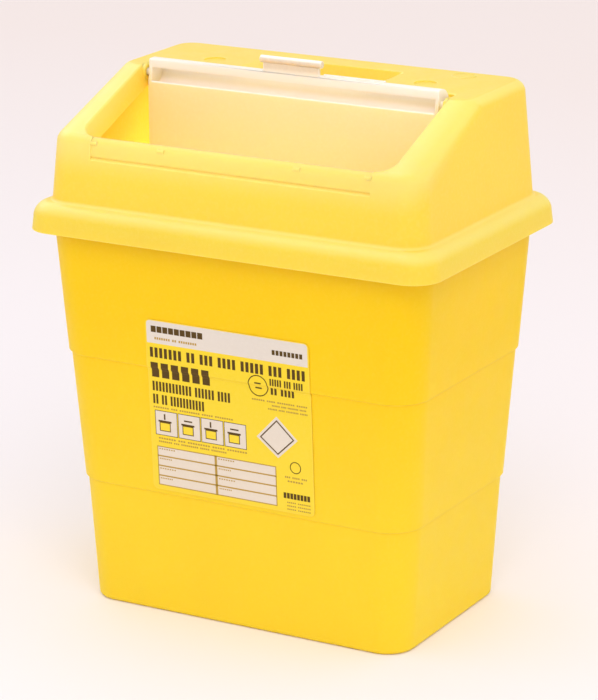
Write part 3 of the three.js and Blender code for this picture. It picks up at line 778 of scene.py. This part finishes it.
def moulded(
    name,
    high,
    low,
    top,
    grain_and_edge_highlight,
    roughness=0.45,
    grain=0.05,
    painted_light_z=(0.08, 0.23),
    lean=0.0,
    tab_shade=None,
    level_face_shade=None,
    **fixed,
):
    """Procedural moulded plastic.

    Upright faces run from the colour low to the colour high over the range of heights for painted light, a
    height
    that lean raises towards the front: painted shade and painted light that change with height.  Above that
    they go on to the tab colour, a painted shade, if it is given as (colour, z, z).  Faces that look up take
    the colour top, a painted highlight, level ones the level colour if it is given, a painted shade against
    the reflection of the bright surroundings on them, and edges found by the bevel the edge colour, a
    painted highlight; the edge colour is also strewn as fine speckle.  Slow clouding, fine grain and slight
    waviness are added.
    """
    mat = bpy.data.materials.new(name)
    mat.use_nodes = True
    nodes, links = mat.node_tree.nodes, mat.node_tree.links
    shader = nodes["Principled BSDF"]
    for socket, value in fixed.items():
        shader.inputs[socket.replace("_", " ")].default_value = value
    coords = nodes.new("ShaderNodeTexCoord")
    where = coords.outputs["Object"]

    def noise(scale, detail=2.0, rough=0.5):
        node = nodes.new("ShaderNodeTexNoise")
        node.inputs["Scale"].default_value = scale
        node.inputs["Detail"].default_value = detail
        node.inputs["Roughness"].default_value = rough
        links.new(where, node.inputs["Vector"])
        return node.outputs["Fac"]

    def spread(value, low, high, to_low, to_high, smooth=False):
        node = nodes.new("ShaderNodeMapRange")
        if smooth:
            node.interpolation_type = "SMOOTHSTEP"
        node.inputs["From Min"].default_value = low
        node.inputs["From Max"].default_value = high
        node.inputs["To Min"].default_value = to_low
        node.inputs["To Max"].default_value = to_high
        links.new(value, node.inputs["Value"])
        return node.outputs["Result"]

    def mix(factor, a, b):
        node = nodes.new("ShaderNodeMix")
        node.data_type = "RGBA"
        links.new(factor, node.inputs["Factor"])
        for socket, value in ((node.inputs["A"], a), (node.inputs["B"], b)):
            if isinstance(value, tuple):
                socket.default_value = value
            else:
                links.new(value, socket)
        return node.outputs["Result"]

    def height_of(vector):
        node = nodes.new("ShaderNodeSeparateXYZ")
        links.new(vector, node.inputs["Vector"])
        return node.outputs["Z"]

    # Painted shade and painted light by height: upright faces change from the low colour to the high colour.
    leaning = nodes.new("ShaderNodeVectorMath")
    leaning.operation = "DOT_PRODUCT"
    leaning.inputs[1].default_value = (0.0, -lean, 1.0)
    links.new(where, leaning.inputs[0])
    upright = mix(spread(leaning.outputs["Value"], *painted_light_z, 0.0, 1.0, True), low, high)
    # Painted shade: above the given heights the tab's face takes a greyer colour.
    if tab_shade:
        upright = mix(spread(height_of(where), tab_shade[1], tab_shade[2], 0.0, 1.0, True), upright, tab_shade[0])
    # Painted highlight: faces that look up take the top colour.
    facing = height_of(coords.outputs["Normal"])
    tone = mix(spread(facing, 0.2, 0.75, 0.0, 1.0, True), upright, top)
    # Painted shade: level faces take a darker colour, against the reflection of the bright surroundings on
    # them.
    if level_face_shade:
        tone = mix(spread(facing, 0.94, 0.995, 0.0, 1.0, True), tone, level_face_shade)
    clouds = nodes.new("ShaderNodeHueSaturation")
    links.new(spread(noise(11.0, 3.0), 0.3, 0.7, 0.975, 1.015), clouds.inputs["Value"])
    links.new(tone, clouds.inputs["Color"])
    speckled = mix(spread(noise(420.0, 2.0), 0.45, 0.8, 0.0, 0.12), clouds.outputs["Color"], grain_and_edge_highlight)
    # Painted edge highlight: edges found by the bevel take the paler edge colour, which the speckle above
    # also uses.
    bevel = nodes.new("ShaderNodeBevel")
    bevel.samples = 4
    bevel.inputs["Radius"].default_value = 0.0012
    geometry = nodes.new("ShaderNodeNewGeometry")
    dot = nodes.new("ShaderNodeVectorMath")
    dot.operation = "DOT_PRODUCT"
    links.new(bevel.outputs["Normal"], dot.inputs[0])
    links.new(geometry.outputs["Normal"], dot.inputs[1])
    edges = spread(dot.outputs["Value"], 0.99, 0.86, 0.0, 0.5)
    links.new(mix(edges, speckled, grain_and_edge_highlight), shader.inputs["Base Color"])
    sheen = spread(noise(70.0, 3.0), 0.3, 0.7, roughness - 0.04, roughness + 0.05)
    links.new(sheen, shader.inputs["Roughness"])

    fine = nodes.new("ShaderNodeBump")
    fine.inputs["Strength"].default_value = grain
    fine.inputs["Distance"].default_value = 0.0002
    links.new(noise(1500.0, 2.0), fine.inputs["Height"])
    slow = nodes.new("ShaderNodeBump")
    slow.inputs["Strength"].default_value = 0.25
    slow.inputs["Distance"].default_value = 0.0006
    links.new(noise(16.0, 1.0), slow.inputs["Height"])
    links.new(slow.outputs["Normal"], fine.inputs["Normal"])
    links.new(fine.outputs["Normal"], shader.inputs["Normal"])
    return mat


# Painted shade and light: the bin is darker high up under the lid's skirt and lighter low down by the floor;
# faces that look up take their own painted tone and edges a paler painted highlight.
bin_plastic = moulded(
    "bin_plastic_mat",
    high=srgb(244, 205, 3),
    low=srgb(248, 213, 42),
    top=srgb(248, 210, 30),
    grain_and_edge_highlight=srgb(255, 222, 90),
    roughness=0.46,
    IOR=1.49,
    Specular_IOR_Level=0.2,
    Subsurface_Weight=0.5,
    Subsurface_Radius=(1.0, 0.9, 0.2),
    Subsurface_Scale=0.0018,
)
# Painted light: the upper front is paler, a painted highlight; faces that look up are paler, a painted
# sheen; level faces are darker, a painted shade; edges take a paler painted highlight.
lid_plastic = moulded(
    "lid_plastic_mat",
    high=srgb(248, 222, 118),
    low=srgb(246, 213, 74),
    top=srgb(247, 223, 114),
    level_face_shade=srgb(247, 216, 86),
    grain_and_edge_highlight=srgb(255, 230, 140),
    roughness=0.4,
    painted_light_z=(0.354, 0.378),
    lean=0.6,
    IOR=1.49,
    Specular_IOR_Level=0.18,
    Subsurface_Weight=0.6,
    Subsurface_Radius=(1.0, 0.9, 0.4),
    Subsurface_Scale=0.003,
)
# Painted light: the panel below the trough is yellower, painted yellow light let through from the bin's
# inside; the tab's face is greyer, a painted shade; edges take a paler painted highlight.
flap_plastic = moulded(
    "flap_plastic_mat",
    high=srgb(252, 240, 226),
    low=srgb(252, 229, 178),
    top=srgb(250, 238, 224),
    grain_and_edge_highlight=srgb(255, 246, 232),
    roughness=0.4,
    painted_light_z=(0.350, 0.364),
    tab_shade=(srgb(222, 208, 190), 0.3675, 0.3715),
    IOR=1.49,
    Subsurface_Weight=0.7,
    Subsurface_Radius=(1.0, 0.97, 0.85),
    Subsurface_Scale=0.006,
)
# Painted shade and light: as on the bin, darker high up under the lid's skirt and lighter low down; edges
# take a paler painted highlight.
label_yellow = moulded(
    "label_film_mat",
    high=srgb(246, 211, 8),
    low=srgb(249, 216, 40),
    top=srgb(249, 216, 40),
    grain_and_edge_highlight=srgb(255, 224, 100),
    roughness=0.5,
    grain=0.03,
)
# Painted shade and light: the white print is darker high up under the lid's skirt, faces that look up are
# paler, and edges take a paler painted highlight.
label_white = moulded(
    "label_white_mat",
    high=srgb(226, 214, 200),
    low=srgb(232, 216, 196),
    top=srgb(238, 226, 208),
    grain_and_edge_highlight=srgb(246, 238, 224),
    roughness=0.5,
    grain=0.03,
)
# Painted edge highlight: the edges of the ink take a paler colour.
label_ink = moulded(
    "label_ink_mat",
    high=srgb(84, 60, 8),
    low=srgb(84, 60, 8),
    top=srgb(84, 60, 8),
    grain_and_edge_highlight=srgb(120, 92, 30),
    roughness=0.55,
    grain=0.03,
    Specular_IOR_Level=0.25,
)
# Painted edge highlight: the edges of the pale ink take a paler colour.
label_tint = moulded(
    "label_tint_mat",
    high=srgb(186, 148, 62),
    low=srgb(186, 148, 62),
    top=srgb(186, 148, 62),
    grain_and_edge_highlight=srgb(206, 172, 90),
    roughness=0.55,
    grain=0.03,
    Specular_IOR_Level=0.25,
)


# ---- assembly --------------------------------------------------------------------
bin_shell = make_bin(bin_plastic)
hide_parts("bin")
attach(bin_shell, "bin")

lid_shell = make_lid(lid_plastic)
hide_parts("lid")
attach(lid_shell, "lid")

flap_shell = make_flap(flap_plastic)
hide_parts("closure_flap")
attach(flap_shell, "flap")

label = MODEL_NODES["front_label"]
label.data.materials.clear()
label.data.materials.append(label_yellow)
for piece in (
    make_label_panels(label_white),
    make_label_fill(label_yellow),
    make_label_tint(label_tint),
    make_label_print(label_ink),
):
    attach(piece, "bin")


# ---- floor, light and camera --------------------------------------------------------
def make_floor():
    """Pale floor that warms slightly towards the back."""
    bm = bmesh.new()
    bmesh.ops.create_grid(bm, x_segments=2, y_segments=2, size=9.0)
    floor = solid(bm)
    floor.name = "floor"
    mat = bpy.data.materials.new("floor_mat")
    mat.use_nodes = True
    nodes, links = mat.node_tree.nodes, mat.node_tree.links
    shader = nodes["Principled BSDF"]
    shader.inputs["Roughness"].default_value = 0.9
    shader.inputs["Specular IOR Level"].default_value = 0.1
    coords = nodes.new("ShaderNodeTexCoord")
    split = nodes.new("ShaderNodeSeparateXYZ")
    links.new(coords.outputs["Object"], split.inputs["Vector"])
    ramp = nodes.new("ShaderNodeMapRange")
    ramp.inputs["From Min"].default_value = -0.3
    ramp.inputs["From Max"].default_value = 1.6
    links.new(split.outputs["Y"], ramp.inputs["Value"])
    mix = nodes.new("ShaderNodeMix")
    mix.data_type = "RGBA"
    mix.inputs["A"].default_value = srgb(252, 248, 255)
    mix.inputs["B"].default_value = srgb(251, 238, 236)
    links.new(ramp.outputs["Result"], mix.inputs["Factor"])
    links.new(mix.outputs["Result"], shader.inputs["Base Color"])
    floor.data.materials.append(mat)


def area_light(name, place, target, size, power, spread=180, sheen_only=False, unseen=False):
    """Rectangular lamp: sheen_only lights no matt surface, unseen shows in no view and no reflection."""
    data = bpy.data.lights.new(name, "AREA")
    data.shape = "RECTANGLE"
    data.size, data.size_y = size
    data.energy = power
    data.spread = math.radians(spread)
    lamp = bpy.data.objects.new(name, data)
    lamp.location = place
    lamp.rotation_mode = "QUATERNION"
    lamp.rotation_quaternion = (Vector(target) - Vector(place)).to_track_quat("-Z", "Y")
    lamp.visible_diffuse = not sheen_only
    if unseen:
        lamp.visible_camera = False
        lamp.visible_glossy = False
    bpy.context.scene.collection.objects.link(lamp)


def inner_glow(name, place, power):
    """Soft unseen lamp inside the bin, for the daylight that its thin walls let through."""
    data = bpy.data.lights.new(name, "POINT")
    data.energy = power
    data.shadow_soft_size = 0.04
    lamp = bpy.data.objects.new(name, data)
    lamp.location = place
    lamp.visible_camera = False
    lamp.visible_glossy = False
    bpy.context.scene.collection.objects.link(lamp)


def make_camera():
    """Camera at the viewing angle of the reference, a long lens above and to the right of the front."""
    yaw, pitch, roll = (math.radians(a) for a in (29.415, 16.883, -0.301))
    forward = Vector((-math.sin(yaw) * math.cos(pitch), math.cos(yaw) * math.cos(pitch), -math.sin(pitch)))
    level_right = Vector((math.cos(yaw), math.sin(yaw), 0))
    level_up = level_right.cross(forward)
    right = level_right * math.cos(roll) + level_up * math.sin(roll)
    up = level_up * math.cos(roll) - level_right * math.sin(roll)
    data = bpy.data.cameras.new("camera")
    data.sensor_width = 36.0
    data.lens = 167.39
    data.clip_start, data.clip_end = 0.05, 60.0
    camera = bpy.data.objects.new("camera", data)
    turn = Matrix((right, up, -forward)).transposed()
    camera.matrix_world = Matrix.Translation((1.04597, -1.84805, 0.82057)) @ turn.to_4x4()
    bpy.context.scene.collection.objects.link(camera)
    bpy.context.scene.camera = camera


make_floor()
make_camera()
area_light("sheen", (-1.05, 0.2, 1.8), (0, 0, 0.3), (1.7, 2.4), 58, sheen_only=True)
area_light("key", (1.0, -1.45, 2.1), (0, 0, 0.3), (1.3, 1.3), 14)
area_light("opening", (0.45, -0.82, 0.95), (0, -0.005, 0.318), (0.26, 0.02), 0.007, spread=7)
area_light("trough_glow", (0, 0.001, 0.361), (0, 0.009, 0.355), (0.212, 0.004), 0.0034, unseen=True)
side_place, side_target = (-0.05, 0.045, 0.3), (-0.14, 0.045, 0.308)
area_light("side_glow", side_place, side_target, (0.04, 0.06), 0.009, spread=70, unseen=True)
inner_glow("bin_glow_left", (-0.065, 0, 0.215), 0.2)
inner_glow("bin_glow_right", (0.065, 0, 0.215), 0.2)

world = bpy.data.worlds.new("studio")
world.use_nodes = True
world.node_tree.nodes["Background"].inputs["Color"].default_value = (1.0, 0.995, 0.99, 1.0)
world.node_tree.nodes["Background"].inputs["Strength"].default_value = 0.92
bpy.context.scene.world = world
bpy.context.scene.view_settings.view_transform = "Standard"
